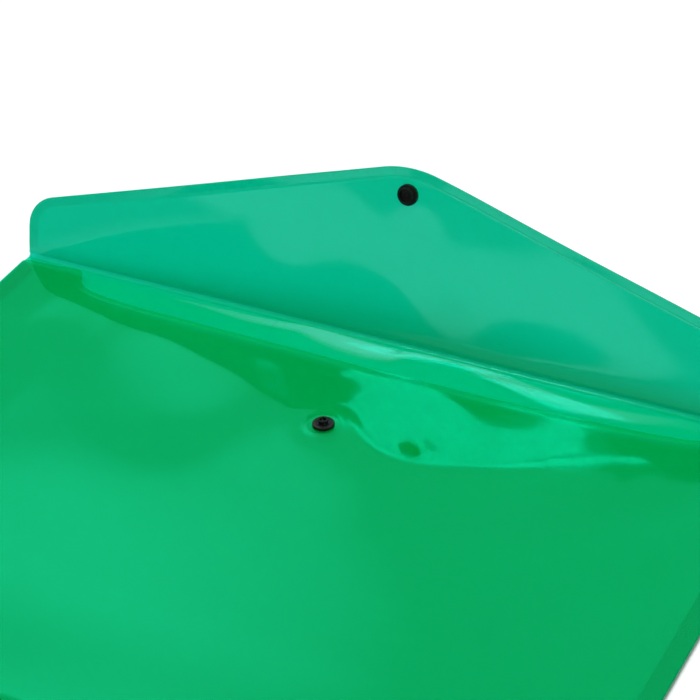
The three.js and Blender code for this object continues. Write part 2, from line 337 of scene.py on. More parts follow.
def sheet_material(name, seed, gloss, clear=CLEAR, milk=MILK):
    material, g = new_material("poly_" + name)
    place = g.mapped(g.coords("Object"), Location=(seed, seed * 0.37, seed * 0.11))

    # fine matte grain, mottling, slow unevenness of the sheet, and faint rubs
    grain = g.noise(place, scale=2600, detail=2.0, roughness=0.6)
    mottle = g.noise(place, scale=55, detail=2.0, roughness=0.5)
    slow = g.noise(place, scale=9, detail=1.0, roughness=0.4)
    rub_place = g.mapped(place, Scale=(18, 260, 260), Rotation=(0, 0, 0.5))
    rub = g.noise(rub_place, scale=1.0, detail=3.0, roughness=0.7)
    normal = g.bump(mottle, distance=6e-6, strength=0.5)
    normal = g.bump(grain, distance=8e-7, strength=1.0, Normal=normal)

    # mirror share: a little face on, rising steeply towards grazing view
    facing = g.node("ShaderNodeLayerWeight", {"Blend": 0.5, "Normal": normal}).outputs["Facing"]
    mirror = g.scaled(g.math("POWER", facing, 5.0), factor=0.96, offset=0.045)
    mirror = g.math("MULTIPLY", mirror, GLOSS_GAIN, clamp=True)
    if name == "flap":
        # its mirror image in the front panel shows the soft box, most on the pressed rim
        rim = g.attribute("rim")
        gain = g.scaled(rim, factor=1.2, offset=2.0)
        gain = g.ramp(gain, gain=g.ray("Is Glossy Ray"), offset=1.0, clamp=False)
        mirror = g.math("MULTIPLY", mirror, gain, clamp=True)
    sharp = g.shader("ShaderNodeBsdfGlossy", Color=rgba(gloss), Normal=normal,
                     Roughness=g.scaled(rub, factor=0.04, offset=0.025))
    wide = g.shader("ShaderNodeBsdfGlossy", Color=rgba(gloss), Normal=normal,
                    Roughness=WIDE_ROUGHNESS)
    shine = g.mix_shader(WIDE_SHARE, sharp, wide)

    tint = g.mix_color(slow, rgba(clear), rgba(clear, scale=0.965))
    if name == "flap":                           # the pressed rim is painted a shade darker, standing in for the shade its tilt gives it
        tint = g.mix_color(rim, tint, rgba(clear, scale=0.92))
    straight = g.shader("ShaderNodeBsdfTransparent", Color=tint)
    milk_tint = g.mix_color(mottle, rgba(milk, scale=1.04), rgba(milk, scale=0.96))
    scattered = g.mix_shader(
        THROUGH,
        g.shader("ShaderNodeBsdfDiffuse", Color=milk_tint, Normal=normal),
        g.shader("ShaderNodeBsdfTranslucent", Color=milk_tint))
    body = g.mix_shader(SCATTER, straight, scattered)
    if name in ("back", "flap"):                 # painted highlight: a whitish diffuse mixed in where the pale attribute is set, broken up by the rub noise
        highlight_streaks = g.ramp(rub, gain=0.5, offset=0.75, clamp=False)
        share = g.math("MULTIPLY", g.attribute("pale"), highlight_streaks)
        share = g.math("MULTIPLY", share, HIGHLIGHT_PAINT_SHARE)
        body = g.mix_shader(share, body, g.shader("ShaderNodeBsdfDiffuse", Color=rgba(HIGHLIGHT_PAINT)))
    g.surface(g.mix_shader(mirror, body, shine))
    return material


def snap_material():
    material, g = new_material("snap_black")
    coords = g.coords("Object")
    fine = g.noise(coords, scale=5200, detail=2.0, roughness=0.6)
    worn = g.noise(coords, scale=900, detail=3.0, roughness=0.55)
    g.surface(g.node("ShaderNodeBsdfPrincipled", {
        "Base Color": g.mix_color(worn, (0.0035, 0.0045, 0.004, 1), (0.008, 0.010, 0.009, 1)),
        "Roughness": g.scaled(worn, factor=0.16, offset=0.16),
        "IOR": 1.5,
        "Specular IOR Level": 0.16,
        "Normal": g.bump(fine, distance=4e-6, strength=0.7)}).outputs[0])
    return material


# Where the pale table ends in mirror images, and how sharply, in metres from the frame's origin.
TABLE_FRONT, FRONT_FADE = 0.42, 14.0             # towards -y
TABLE_LEFT, LEFT_FADE = 0.27, 20.0               # towards -x
NOTCH_LEFT, NOTCH_LEFT_FADE = 0.16, 40.0         # nearer in x, but only behind y = -NOTCH_FRONT
NOTCH_FRONT, NOTCH_FRONT_FADE = 0.14, 25.0


def floor_material():
    material, g = new_material("studio_floor")
    coords = g.coords("Object")
    speckle = g.noise(coords, scale=40, detail=3.0, roughness=0.5)
    x, y, _ = g.axes(coords)
    front = g.ramp(y, gain=-FRONT_FADE, offset=-FRONT_FADE * TABLE_FRONT)
    left = g.ramp(x, gain=-LEFT_FADE, offset=-LEFT_FADE * TABLE_LEFT)
    notch = g.math("MULTIPLY",
                   g.ramp(x, gain=-NOTCH_LEFT_FADE, offset=-NOTCH_LEFT_FADE * NOTCH_LEFT),
                   g.ramp(y, gain=NOTCH_FRONT_FADE, offset=NOTCH_FRONT_FADE * NOTCH_FRONT))
    ends = g.math("MAXIMUM", front, g.math("MAXIMUM", left, notch))
    in_mirror = g.math("MULTIPLY", ends, g.ray("Is Glossy Ray"))
    pale = g.mix_color(speckle, grey(0.86), grey(0.88))
    table = g.shader("ShaderNodeBsdfDiffuse",
                     Color=g.mix_color(in_mirror, pale, (0.14, 0.28, 0.20, 1)))

    # far from the wallet the table runs into the pale backdrop
    away = g.node("ShaderNodeVectorMath", {0: coords}, operation="LENGTH").outputs["Value"]
    far = g.ramp(away, gain=1.1, offset=-0.5)
    far = g.math("SMOOTH_MIN", far, 1.0, 0.1)
    far = g.math("MULTIPLY", far, g.ray("Is Camera Ray"))
    g.surface(g.mix_shader(far, table, g.shader("ShaderNodeEmission", Color=grey(0.98))))
    return material


poly = {name: sheet_material(name, **look) for name, look in SHEET_LOOKS.items()}
black = snap_material()

# ---------------------------------------------------------------- front panel
# Mouth edge of the front panel: (distance from the middle in x, drop below the crease).
MOUTH = np.array([
    (164.9, 4.4), (164.2, 2.9), (162.6, 2.25), (160.0, 2.2), (139.6, 2.2), (138.0, 2.45),
    (137.0, 3.2), (136.3, 4.6), (134.6, 7.9), (132.9, 10.3), (130.6, 12.3), (127.6, 13.9),
    (123.0, 15.2), (112.8, 16.6), (102.0, 17.5), (90.0, 18.0), (76.0, 18.25), (60.0, 18.3),
    (0.0, 18.3)])
MOUTH_FINE = cut_corners(MOUTH, rounds=3)[::-1]
PILLOW_SIDE, PILLOW_BOTTOM = 45.0, 60.0          # how far in the panel takes to rise

# Slow waves of the slack panel: (x, y, slope along x, slope along y, weight), slopes in degrees.
WAVES = [
    (8.2, 59.7, 0.4, -0.9, 1.0), (18.2, 56.0, 0.3, -1.1, 1.0), (25.8, 52.6, -2.0, -1.4, 0.6),
    (34.5, 51.1, 0.1, -1.2, 1.0), (46.4, 51.1, 0.5, -0.9, 1.0), (63.3, 57.1, 0.5, -0.8, 1.0),
    (75.2, 65.5, 0.2, 0.0, 1.0), (89.4, 68.4, 0.1, -0.3, 1.0), (105.4, 66.4, 0.7, -1.7, 1.0),
    (123.9, 68.2, 0.8, -2.9, 1.0), (-79.3, 92.2, -0.7, 1.6, 0.6), (-39.9, 76.0, 1.0, 0.8, 1.0),
    (-56.0, 72.0, 0.0, 1.3, 1.0), (-34.0, 64.0, 0.4, 1.0, 1.0), (-70.0, 84.0, -0.4, 1.6, 0.8),
    (-60.0, 92.0, -0.5, 1.2, 0.8), (-12.1, 63.3, 0.3, -1.2, 0.8), (-129.7, 99.8, 0.0, 1.2, 0.5),
    (25.2, 60.0, -4.0, -2.0, 0.8), (-28.0, 80.0, 1.4, 0.4, 1.0), (-14.0, 88.0, 1.0, -1.6, 1.0),
    (-12.0, 74.0, 0.7, -1.6, 0.8), (3.0, 92.0, 0.2, -2.4, 1.0), (5.0, 76.0, 0.0, -2.3, 1.0),
    (22.7, 88.0, 0.0, -0.8, 1.0), (40.0, 71.0, 0.0, -2.8, 1.0), (56.0, 70.0, 0.0, -2.7, 1.0),
    (68.0, 70.0, 0.0, -2.0, 1.0), (44.0, 94.0, 0.0, 0.2, 1.0), (72.0, 92.0, 0.2, 1.2, 1.0),
    (88.0, 82.0, 0.2, 2.0, 1.0), (104.0, 84.0, 0.2, 0.6, 0.8)]
WAVE_X, WAVE_Y = (grid.ravel() for grid in np.meshgrid(np.arange(-150, 151, 20.0),
                                                       np.arange(-100, 101, 20.0)))
WAVE_WIDTH = 24.0
SLOPE_WEIGHT, STUD_WEIGHT, CALM_WEIGHT = 40, 30, 0.35    # pulls on the least-squares fit


def mouth_drop(x):
    return np.interp(np.abs(x), MOUTH_FINE[:, 0], MOUTH_FINE[:, 1])


def pillow(x, y):
    side = smooth((TAB_INNER_X - 0.1 - np.abs(x)) / PILLOW_SIDE)
    return PILLOW_RISE * side * smooth((y - FOLD_Y) / PILLOW_BOTTOM)


def fit_waves():
    """Heights of a grid of bells that give the wanted slopes and stay level at the stud."""
    def bells(x, y):
        return np.exp(-((x - WAVE_X) ** 2 + (y - WAVE_Y) ** 2) / WAVE_WIDTH ** 2)

    step = 0.05
    rows, wanted = [], []
    for x, y, slope_x, slope_y, weight in WAVES:
        pillow_x = (pillow(x + step, y) - pillow(x - step, y)) / (2 * step)
        pillow_y = (pillow(x, y + step) - pillow(x, y - step)) / (2 * step)
        pull = weight * SLOPE_WEIGHT
        for offset, slope, present in ((x - WAVE_X, slope_x, pillow_x),
                                       (y - WAVE_Y, slope_y, pillow_y)):
            rows.append(pull * bells(x, y) * (-2 * offset / WAVE_WIDTH ** 2))
            wanted.append(pull * (math.tan(math.radians(slope)) - float(present)))
    for dx, dy in ((0, 0), (5, 0), (-5, 0), (0, 5), (0, -5)):
        rows.append(STUD_WEIGHT * bells(STUD[0] + dx, STUD[1] + dy))
        wanted.append(0.0)
    count = len(WAVE_X)
    rows = np.concatenate([np.array(rows), CALM_WEIGHT * np.eye(count)])
    wanted = np.concatenate([np.array(wanted), np.zeros(count)])
    return np.linalg.lstsq(rows, wanted, rcond=None)[0]


WAVE_HEIGHTS = fit_waves()


def waves(x, y):
    total = np.zeros_like(x)
    for at_x, at_y, height in zip(WAVE_X, WAVE_Y, WAVE_HEIGHTS):
        total += height * np.exp(-((x - at_x) ** 2 + (y - at_y) ** 2) / WAVE_WIDTH ** 2)
    # slack ripples over the lower part, and one broad swell and one hollow
    total += 0.22 * np.sin(x / 31.0 + 0.9) * np.sin(y / 43.0 - 0.4) * smooth((70 - y) / 60)
    total += 0.30 * mound(x, y, at=(-95, -10), size=(60, 26), turn=0.5)
    total -= 0.25 * mound(x, y, at=(60, -40), size=(70, 30), turn=-0.3)
    return total


def front_height(x, y):
    from_stud = np.hypot(x - STUD[0], y - STUD[1])
    inside = smooth((TAB_INNER_X - 0.4 - np.abs(x)) / 22) * smooth((y - FOLD_Y) / 30)
    clear_of_stud = smooth((from_stud - 6.3) / 14.0)
    floor_z = FRONT_Z + THICK / 2
    z = np.maximum(floor_z + pillow(x, y) + inside * clear_of_stud * waves(x, y), floor_z)
    # the stud's setting tool leaves a raised ring with a shallow dip outside it
    z = z + 0.10 * bell(from_stud - 6.1, 0.7)
    return z - 0.06 * smooth((from_stud - 6.4) / 2.5) * smooth((16 - from_stud) / 8)


def mouth_distance(x, y):
    """Distance inwards from the mouth edge, from its steeper slope over a near and a wide span."""
    def slope(reach):
        return np.abs((mouth_drop(x + reach) - mouth_drop(x - reach)) / (2 * reach))

    steepest = np.maximum(slope(0.25), slope(2.2))
    return (CREASE_Y - mouth_drop(x) - y) / np.sqrt(1 + steepest * steepest)


def front_panel():
    columns = mirrored(graded(0, (9.0, 0.6), (108, 1.65), (124, 0.7), (140.5, 0.36), (157, 1.1),
                              (FRONT_X, 0.6)))
    shortest = CREASE_Y - MOUTH[-1, 1] - FOLD_Y      # panel height in the middle
    even = 6                                         # rows this near the mouth stay parallel to it
    rows = graded(0, (1.8, 0.3), (3.3, 0.15), (even, 0.5), (32, 1.65), (50, 0.6), (90, 2.2),
                  (shortest, 4.2))
    drop = mouth_drop(columns)[:, None]
    stretch = (CREASE_Y - drop - FOLD_Y - shortest) * smooth((rows - even) / (shortest - even))
    x = np.repeat(columns[:, None], len(rows), 1)
    y = CREASE_Y - drop - rows - stretch
    inwards = mouth_distance(x, y)
    # a pressed groove follows the mouth, and the lip outside it stands a little higher
    z = front_height(x, y) - 0.11 * bell(inwards - 2.5, 0.32) + 0.03 * smooth((2.5 - inwards) / 2.0)
    sheet("front_panel", "pocket", poly["front"], np.stack([x, y, z], -1)[:, ::-1])


# ---------------------------------------------------------------- back panel
# The crumpled ridge near the crease, as (x, value).
RIDGE_CREST_Y = [(-120, 117.0), (-84, 116.2), (-46, 115.0), (-34, 111.5), (0, 109.5), (6, 111.0),
                 (36, 111.0), (50, 109.5), (64, 106.5), (100, 105.5), (140, 105.0)]
RIDGE_WIDTH_BEYOND = [(-90, 1.0), (-46, 1.6), (-34, 4.5), (0, 6.0), (6, 4.5), (40, 4.0),
                      (60, 3.2), (100, 3.0)]         # on the crease side of the crest
RIDGE_WIDTH_BEFORE = 4.5
RIDGE_HEIGHT = [(-125, 0.0), (-84, 0.04), (-52, 0.06), (-32, 0.46), (0, 0.52), (30, 0.34),
                (60, 0.22), (90, 0.14), (125, 0.0)]
# A sharp narrow crest at the left end of the ridge, as (x, value).
NARROW_CREST_Y = [(-110, 116.75), (-84, 116.45), (-40, 115.7)]
NARROW_HEIGHT = [(-112, 0.0), (-92, 0.20), (-50, 0.20), (-34, 0.0)]

# A painted highlight streak along the ridge: (x, middle y, half width, strength).
HIGHLIGHT_STREAK = np.array([
    (-84.8, 113.8, 0.63, 0.25), (-61.1, 113.0, 1.88, 0.5), (-46.9, 113.7, 1.87, 0.65),
    (-37.4, 114.7, 2.49, 0.8), (-29.4, 113.6, 3.71, 0.95), (-17.4, 112.0, 4.3, 1.0),
    (-6.8, 111.4, 4.28, 1.0), (2.8, 111.8, 3.66, 0.85), (9.8, 114.8, 1.83, 0.8),
    (26.6, 118.3, 1.83, 0.75), (37.3, 115.7, 2.42, 0.7), (59.7, 111.0, 2.98, 0.6),
    (80.9, 108.3, 2.94, 0.5), (100.0, 109.7, 2.92, 0.35), (118.0, 113.4, 2.34, 0.1)])


def back_rise(x, y):
    beyond = y - interpolate(x, RIDGE_CREST_Y)
    width = np.where(beyond > 0, interpolate(x, RIDGE_WIDTH_BEYOND), RIDGE_WIDTH_BEFORE)
    rise = interpolate(x, RIDGE_HEIGHT) * bell(beyond, width)
    rise = rise - 0.16 * mound(x, y, at=(3.2, 114.4), size=(2.6, 1.1), turn=0.35)
    rise = rise + 0.03 * mound(x, y, at=(-107.2, 110.4), size=(2.6, 0.35), turn=0.4)
    rise = np.maximum(rise, 0) * smooth((CREASE_Y + 0.3 - y) / 1.6) * smooth((y - 97) / 6)
    return rise + interpolate(x, NARROW_HEIGHT) * bell(y - interpolate(x, NARROW_CREST_Y), 0.27)


# Share of the painted highlight along the ridge, from 0 to 1
def painted_highlight(x, y):
    at_x, middle, half_width, strength = HIGHLIGHT_STREAK.T
    beyond = y - np.interp(x, at_x, middle)
    across = np.abs(beyond) / np.interp(x, at_x, half_width)
    blur = np.where(beyond > 0, 0.30, 0.65)          # crisp towards the crease, soft away from it
    fade_x = np.concatenate([[at_x[0] - 12], at_x, [at_x[-1] + 14]])
    along = np.interp(x, fade_x, np.concatenate([[0.0], strength, [0.0]]))
    dent = 0.7 * mound(x, y, at=(4.0, 114.9), size=(1.5, 0.8), turn=0.35)
    return along * smooth((1.0 + blur - across) / (2 * blur)) * (1 - dent)


def back_panel():
    columns = graded(-EDGE_X, (-158, 0.8), (-112, 3.2), (-102, 0.8), (-4, 2.0), (12, 0.5),
                     (130, 2.0), (158, 3.2), (EDGE_X, 0.8))
    rows = graded(FOLD_Y, (92, 4.0), (106, 1.0), (115.2, 0.35), (CREASE_Y - 0.17, 0.09))
    x, y = np.meshgrid(columns, rows, indexing="ij")
    points = np.stack([x, y, THICK / 2 + back_rise(x, y)], -1)
    back = sheet("back_panel", "pocket", poly["back"], points)
    # the pale attribute carries the painted highlight streak
    paint(back, "pale", painted_highlight(x, y), edge_value=0.0)


# ---------------------------------------------------------------- bottom fold and side tabs
def bottom_fold():
    """Half a turn of sheet that joins the two panels."""
    columns = graded(-EDGE_X, (EDGE_X, 6.0))
    angles = np.linspace(-math.pi / 2, -3 * math.pi / 2, 19)
    outer = 1.5 * THICK
    middle = outer - THICK / 2
    x = np.repeat(columns[:, None], len(angles), 1)
    y = np.repeat((FOLD_Y + middle * np.cos(angles))[None], len(columns), 0)
    z = np.repeat((outer + middle * np.sin(angles))[None], len(columns), 0)
    points = np.stack([x, y, z], -1)[:, ::-1]
    sheet("bottom_fold", "pocket", poly["fold"], points, thick=THICK * 0.999)


TAPER_START = 8.4                                # below the crease
TAB_TOP_INNER_X = 163.4                          # inner edge at the tab's top


def side_tab(node, side):
    """A strip folded in from the back panel under the front panel, tapered at its top."""
    rows = []
    for y in graded(FOLD_Y, (CREASE_Y - 10, 5.0), (CREASE_Y - TAB_TOP_GAP, 0.3)):
        taper = np.clip((y - (CREASE_Y - TAPER_START)) / (TAPER_START - TAB_TOP_GAP), 0, 1)
        inner = TAB_INNER_X + taper * (TAB_TOP_INNER_X - TAB_INNER_X)
        section = [(inner + (EDGE_X - inner) * k / 8, 1.5 * THICK) for k in range(8)]
        section += [(EDGE_X + THICK / 2 * math.cos(angle), THICK + THICK / 2 * math.sin(angle))
                    for angle in np.linspace(math.pi / 2, -math.pi / 2, 9)]
        rows.append([(side * x, y, z) for x, z in section])
    points = np.array(rows)
    if side < 0:
        points = points[::-1]
    sheet(node, "pocket", poly["tab"], points, thick=THICK * 0.996)


# ---------------------------------------------------------------- crease strip
CREASE_SAG = 0.40                                # the crease is pressed into a channel
CREASE_THICK = 0.22                              # of thinner sheet


def crease_section():
    """Closed outline of the strip with round ends: (across the strip, out of its inner face)."""
    share = np.linspace(0.0, 1.0, 15)
    middle = np.stack([STRIP_WIDTH * share, -CREASE_SAG * (1 - (2 * share - 1) ** 2)], -1)
    along = np.gradient(middle, axis=0)
    normals = np.stack([-along[:, 1], along[:, 0]], -1)
    normals = normals / np.linalg.norm(normals, axis=1, keepdims=True)
    half = CREASE_THICK / 2

    def round_end(centre, angles):
        return [(centre[0] + half * math.cos(angle), centre[1] + half * math.sin(angle))
                for angle in angles]

    lead, tail = (math.atan2(normal[1], normal[0]) for normal in (normals[0], normals[-1]))
    return (round_end(middle[0], np.linspace(lead + math.pi, lead, 7)[:-1])
            + list(middle + normals * half)
            + round_end(middle[-1], np.linspace(tail, tail - math.pi, 7)[1:])
            + list((middle - normals * half)[::-1][1:-1]))


def crease_strip():
    section = crease_section()
    columns = graded(-EDGE_X, (EDGE_X, 4.0))
    verts = [LOWER_SCORE + np.array([x, 0, 0]) + a * STRIP_UP + b * STRIP_INWARD
             for x in columns for a, b in section]
    size, last = len(section), len(columns) - 1
    faces = []
    for i in range(last):
        for k in range(size):
            q = (k + 1) % size
            faces.append((i * size + k, i * size + q, (i + 1) * size + q, (i + 1) * size + k))
    faces.append(tuple(range(size))[::-1])
    faces.append(tuple(last * size + k for k in range(size)))
    new_object("crease_strip_sheet", "crease_strip", "crease", poly["crease"],
               verts, faces)


# ---------------------------------------------------------------- flap
# Heights over the upper score at the sides and where the sloping edges would meet, and roundings.
FLAP_SIDE, FLAP_TIP = 23.2, 71.4
CORNER_RADIUS, TIP_RADIUS = 15.0, 40.0
EDGE_SLOPE = math.atan2(FLAP_TIP - FLAP_SIDE, HALF_WIDTH)
RIM = 4.0                                        # width of the pressed rim


def flap_edge(x):
    """Height of the flap's edge over the upper score."""
    a = np.abs(x)
    height = FLAP_TIP - a * math.tan(EDGE_SLOPE)

    r = TIP_RADIUS
    centre = FLAP_TIP - r / math.cos(EDGE_SLOPE)
    arc = centre + np.sqrt(np.maximum(r * r - a * a, 0))
    height = np.where(a < r * math.sin(EDGE_SLOPE), arc, height)

    r = CORNER_RADIUS
    centre_x = HALF_WIDTH - r
    centre = FLAP_TIP - centre_x * math.tan(EDGE_SLOPE) - r / math.cos(EDGE_SLOPE)
    arc = centre + np.sqrt(np.maximum(r * r - (a - centre_x) ** 2, 0))
    return np.where(a > centre_x + r * math.sin(EDGE_SLOPE), arc, height)


def flap_outline():
    """The free edge from the left end of the score round to the right: (x, height)."""
    w = HALF_WIDTH
    x = np.concatenate([np.linspace(-w, -w + 18, 240), np.linspace(-w + 18.4, w - 18.4, 240),
                        np.linspace(w - 18, w, 240)])
    up = np.linspace(0, flap_edge(w), 60)[:-1]
    left = np.stack([np.full_like(up, -w), up], -1)
    right = np.stack([np.full_like(up, w), up], -1)[::-1]
    return np.concatenate([left, np.stack([x, flap_edge(x)], -1), right])


def flap_distance(x, height):
    """Distance inwards from the flap's free edge."""
    points = np.stack([x.ravel(), height.ravel()], -1)
    nearest = np.full(len(points), 1e9)
    outline = flap_outline()
    for a, b in zip(outline[:-1], outline[1:]):
        ab = b - a
        t = np.clip(((points - a) @ ab) / (ab @ ab), 0, 1)
        nearest = np.minimum(nearest, np.hypot(*(points - (a + t[:, None] * ab)).T))
    return nearest.reshape(x.shape)


def flap_warp(x, height):
    """How far the flap stands off its plane, towards its inner face."""
    share = x / HALF_WIDTH
    warp = -height * np.sin(np.radians(3.9 * share - 0.4 * share ** 2))    # twisted
    # bowed back left of the stud and just right of it, bowed forward farther right
    warp = warp - 0.80 * bell(x + 50, 26) * smooth(height / 36)
    warp = warp - 0.60 * bell(x - 20, 19) * smooth(height / 32)
    warp = warp + 0.60 * bell(x - 76, 30) * np.clip(height / 45, 0, 1.3) ** 2
    # leaning back where it leaves the crease
    lean = 0.35 + 0.22 * smooth((x + 10) / 80)
    warp = warp - lean * (1 - np.exp(-height / 6.0)) * np.clip(1 - height / 64, 0, 1)
    # flat at the socket and at the score
    warp = warp * (1 - bell(np.hypot(x, height - SOCKET_HEIGHT), 11.0))
    return warp * smooth(height / 5.0)


def flap_grid():
    """Grid of x and height over the score: fine at the bottom and at the pressed rim."""
    columns = mirrored(graded(0, (14, 0.8), (145, 1.9), (157, 0.6), (163.2, 0.24),
                              (HALF_WIDTH, 0.22)))
    start, border = 0.17, 6.0                    # lowest row, and height of the band at the edge
    low_span, low_share = 12.0, 0.42             # the low rows' own span, and their share
    low_rows = graded(0, (3, 0.4), (low_span, 1.3))
    edge_rows = graded(border, (5.2, 0.4), (2.9, 0.17), (0, 0.4))
    heights = []
    for edge in flap_edge(columns):
        lower = start + low_rows * (edge - start - border) / low_span * low_share
        upper = edge - edge_rows
        middle = np.linspace(lower[-1], upper[0], 28)[1:-1]
        heights.append(np.concatenate([lower, middle, upper]))
    heights = np.array(heights)
    return np.repeat(columns[:, None], heights.shape[1], 1), heights


def flap():
    x, height = flap_grid()
    inwards = flap_distance(x, height)
    off_score = smooth((height - 1.6) / 1.6)
    groove = bell(inwards - RIM, 0.30)
    warp = flap_warp(x, height)
    warp = warp + off_score * (0.07 * groove + 0.20 * np.clip((RIM - inwards) / RIM, 0, 1))
    points = (UPPER_SCORE + x[..., None] * np.array([1.0, 0, 0])
              + height[..., None] * FLAP_UP + warp[..., None] * FLAP_INWARD)
    obj = sheet("flap", "flap", poly["flap"], points)
    paint(obj, "rim", np.clip((RIM - inwards) / 0.35 + 0.5, 0, 1) * off_score, edge_value=1.0)
    # a painted highlight along the pressed groove on the right half of the flap
    paint(obj, "pale", 0.75 * off_score * smooth((x - 2) / 20) * groove, edge_value=0.0)


front_panel()
back_panel()
bottom_fold()
side_tab("left_side_tab", side=-1)
side_tab("right_side_tab", side=1)
crease_strip()
flap()

# ---------------------------------------------------------------- press stud
SNAP_GAP = 0.05                                  # left between each moulding and its sheet
SEGMENTS = 96
CORNER_ROUNDING = 0.09
SLOT_LENGTH, SLOT_WIDTH = 6.0, 0.4               # crossed slots in the stud's post
SLOT_BOTTOM, SLOT_TOP = SNAP_GAP + 1.35, SNAP_GAP + 3.0
SLOT_TURNS = (math.pi / 4, 3 * math.pi / 4)

# Turned profiles: (radius, height over the gap). Rings are closed.
STUD_RING = [
    (0.8, 0.0), (SNAP_RADIUS, 0.0), (SNAP_RADIUS, 0.72), (SNAP_RADIUS - 0.22, 1.0), (2.98, 1.0),
    (2.82, 1.13), (2.58, 1.13), (2.42, 1.0), (1.85, 1.0), (1.85, 1.5), (2.0, 2.0), (1.95, 2.4),
    (1.75, 2.6), (1.35, 2.6), (1.15, 2.4), (1.15, 1.2), (0.8, 1.2)]
SOCKET_RING = [
    (0.8, 0.0), (SNAP_RADIUS, 0.0), (SNAP_RADIUS, 0.58), (SNAP_RADIUS - 0.2, 0.8), (3.25, 0.8),
    (3.15, 2.1), (2.95, 2.3), (2.65, 2.3), (2.45, 2.1), (2.45, 0.9), (0.8, 0.9)]
# Heads of the caps' pins, which end on the axis.
STUD_PIN = [(0.7, 1.25), (1.0, 1.25), (1.0, 1.45), (0.7, 1.7), (0.3, 1.62), (0, 1.58)]
SOCKET_PIN = [(0.7, 0.95), (1.0, 0.95), (1.0, 1.1), (0.7, 1.3), (0.3, 1.24), (0, 1.2)]
# The caps' disc: (radius, height over its face against the sheet), starting on the axis.
CAP_DISC = [(0, -0.8), (3.4, -0.8), (3.95, -0.62), (SNAP_RADIUS, -0.35), (SNAP_RADIUS, 0.0),
            (0.7, 0.0)]


def lifted(profile, height):
    return [(r, height + z) for r, z in profile]


def cap_profile(pin):
    return lifted(CAP_DISC, -THICK - SNAP_GAP) + lifted(pin, SNAP_GAP)


def rounded(profile, closed):
    """Each corner of a profile becomes a short curve of four points."""
    points = [np.array(point, float) for point in profile]
    curve = []
    for i, b in enumerate(points):
        if not closed and i in (0, len(points) - 1):
            curve.append(b)
            continue
        a, c = points[i - 1], points[(i + 1) % len(points)]
        to_a, to_c = np.linalg.norm(a - b), np.linalg.norm(c - b)
        r = min(CORNER_ROUNDING, 0.42 * to_a, 0.42 * to_c)
        start, end = b + (a - b) / to_a * r, b + (c - b) / to_c * r
        for t in (0.0, 0.3, 0.7, 1.0):
            curve.append((1 - t) ** 2 * start + 2 * t * (1 - t) * b + t * t * end)
    return curve


def turned(profile):
    """Vertices and faces of a turned solid. A profile that starts on the axis also ends there."""
    closed = profile[0][0] > 0
    verts, rings = [], []
    for r, z in rounded(profile, closed):
        if r < 1e-6:
            rings.append([len(verts)])
            verts.append((0, 0, z))
            continue
        rings.append(list(range(len(verts), len(verts) + SEGMENTS)))
        for k in range(SEGMENTS):
            angle = 2 * math.pi * k / SEGMENTS
            verts.append((r * math.cos(angle), r * math.sin(angle), z))
    faces = []
    for i in range(len(rings) if closed else len(rings) - 1):
        a, b = rings[i], rings[(i + 1) % len(rings)]
        for k in range(SEGMENTS):
            q = (k + 1) % SEGMENTS
            if len(a) == 1:
                faces.append((a[0], b[q], b[k]))
            elif len(b) == 1:
                faces.append((a[k], a[q], b[0]))
            else:
                faces.append((a[k], a[q], b[q], b[k]))
    return verts, faces


def slot_cutter(turn):
    cut = bmesh.new()
    bmesh.ops.create_cube(cut, size=1.0)
    size = (SLOT_LENGTH, SLOT_WIDTH, SLOT_TOP - SLOT_BOTTOM)
    bmesh.ops.scale(cut, vec=size, verts=cut.verts)
    bmesh.ops.bevel(cut, geom=list(cut.edges), offset=SLOT_WIDTH * 0.18, segments=2,
                    profile=0.5, affect="EDGES")
    bmesh.ops.rotate(cut, cent=(0, 0, 0), matrix=Matrix.Rotation(turn, 3, "Z"), verts=cut.verts)
    bmesh.ops.translate(cut, vec=(0, 0, (SLOT_BOTTOM + SLOT_TOP) / 2), verts=cut.verts)
    mesh = bpy.data.meshes.new("cutter")
    cut.to_mesh(mesh)
    cut.free()
    cutter = bpy.data.objects.new("cutter", mesh)
    bpy.context.scene.collection.objects.link(cutter)
    return cutter


def cut_slots(name, mesh):
    """The mesh with the crossed slots cut out, by way of a passing object."""
    obj = bpy.data.objects.new(name, mesh)
    bpy.context.scene.collection.objects.link(obj)
    for turn in SLOT_TURNS:
        cutter = slot_cutter(turn)
        modifier = obj.modifiers.new("slot", "BOOLEAN")
        modifier.operation, modifier.solver, modifier.object = "DIFFERENCE", "EXACT", cutter
        depsgraph = bpy.context.evaluated_depsgraph_get()
        made = bpy.data.meshes.new_from_object(obj.evaluated_get(depsgraph))
        obj.modifiers.clear()
        obj.data = made
        bpy.data.objects.remove(cutter)
    mesh = obj.data
    bpy.data.objects.remove(obj)
    return mesh


def snap_piece(node, body, origin, axis, profile, slotted=False):
    """A turned moulding whose own z axis points along axis from origin."""
    name = node + "_moulding"
    verts, faces = turned(profile)
    mesh = bpy.data.meshes.new(name)
    mesh.from_pydata(verts, [], faces)
    bm = bmesh.new()
    bm.from_mesh(mesh)
    bmesh.ops.recalc_face_normals(bm, faces=bm.faces)
    bm.to_mesh(mesh)
    bm.free()
    if slotted:
        mesh = cut_slots(name, mesh)
    local = np.array([v.co for v in mesh.vertices], float)
    faces = [list(face.vertices) for face in mesh.polygons]
    x_axis = np.array([1.0, 0, 0])
    placed = origin + local @ np.array([x_axis, np.cross(axis, x_axis), axis])
    obj = new_object(name, node, body, black, placed, faces)
    bpy.context.view_layer.objects.active = obj
    obj.select_set(True)
    bpy.ops.object.shade_smooth_by_angle(angle=math.radians(32))
    obj.select_set(False)


